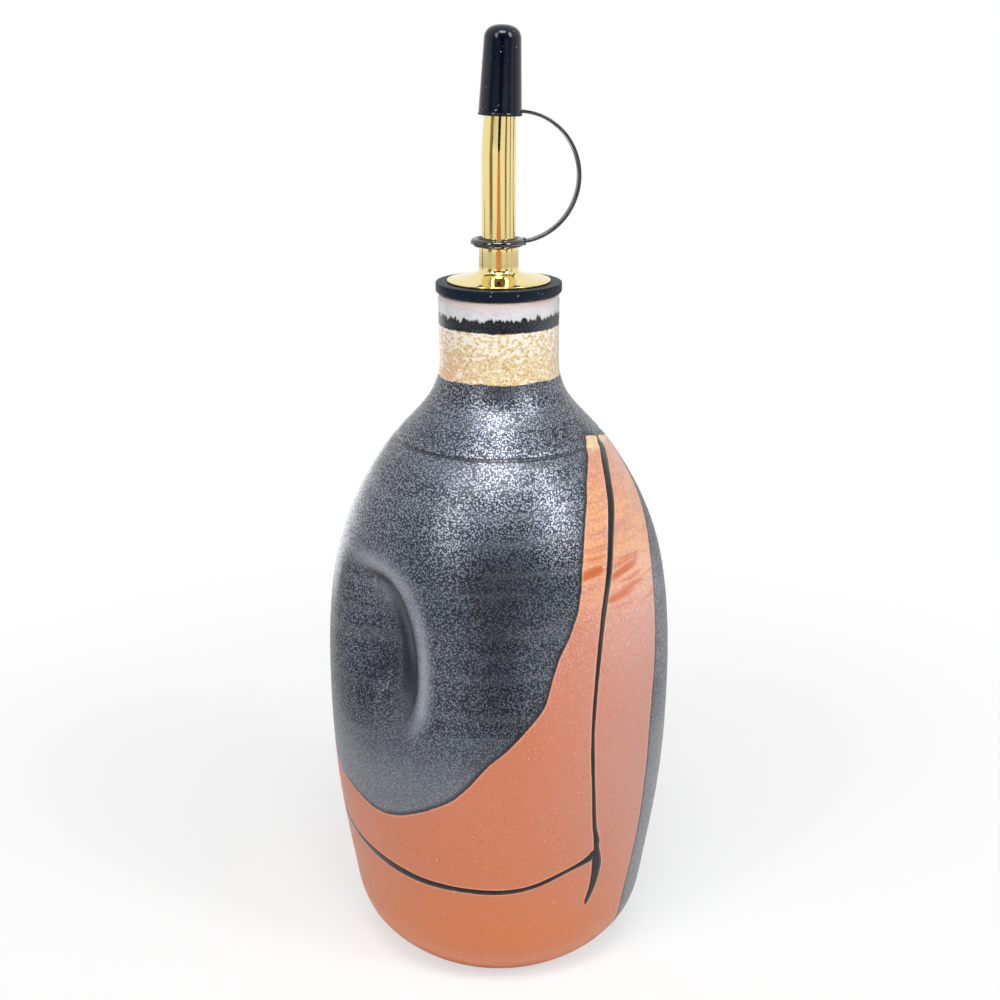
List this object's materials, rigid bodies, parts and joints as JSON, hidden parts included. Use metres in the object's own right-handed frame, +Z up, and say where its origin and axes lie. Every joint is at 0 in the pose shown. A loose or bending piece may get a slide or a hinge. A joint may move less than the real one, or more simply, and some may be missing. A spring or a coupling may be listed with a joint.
{
  "type": "oil bottle",
  "caption": "Hollow dimpled stoneware oil bottle with a ribbed stopper, gold pouring spout, breather tube and a tethered push-on dust cap.",
  "frame": {"origin": "centre of the flat foot that the bottle stands on", "axes": "+Z up along the bottle's axis, -Y towards the front, +X to the right"},
  "size_m": [0.0914, 0.0914, 0.243],
  "materials": {
    "glazed_stoneware": "satin black glaze over terracotta and cream fields",
    "black_stopper": "satin moulded",
    "gold_plate": "polished gold plate",
    "steel_tube": "drawn",
    "black_cap": "glossy moulded"
  },
  "bodies": {
    "bottle": {"bottle": "glazed_stoneware"},
    "pourer": {"stopper": "black_stopper", "spout_base": "gold_plate", "spout_tube": "gold_plate", "breather_tube": "steel_tube"},
    "tether_cap": {"tether_cap": "black_cap"}
  },
  "joints": [
    {"name": "pourer_lift", "type": "slide", "parent": "bottle", "child": "pourer", "axis": [0, 0, 1], "range_m": [0, 0.034]},
    {"name": "cap_lift", "type": "slide", "parent": "pourer", "child": "tether_cap", "axis": [0.0349, 0, 0.9994], "range_m": [0, 0.017]}
  ]
}
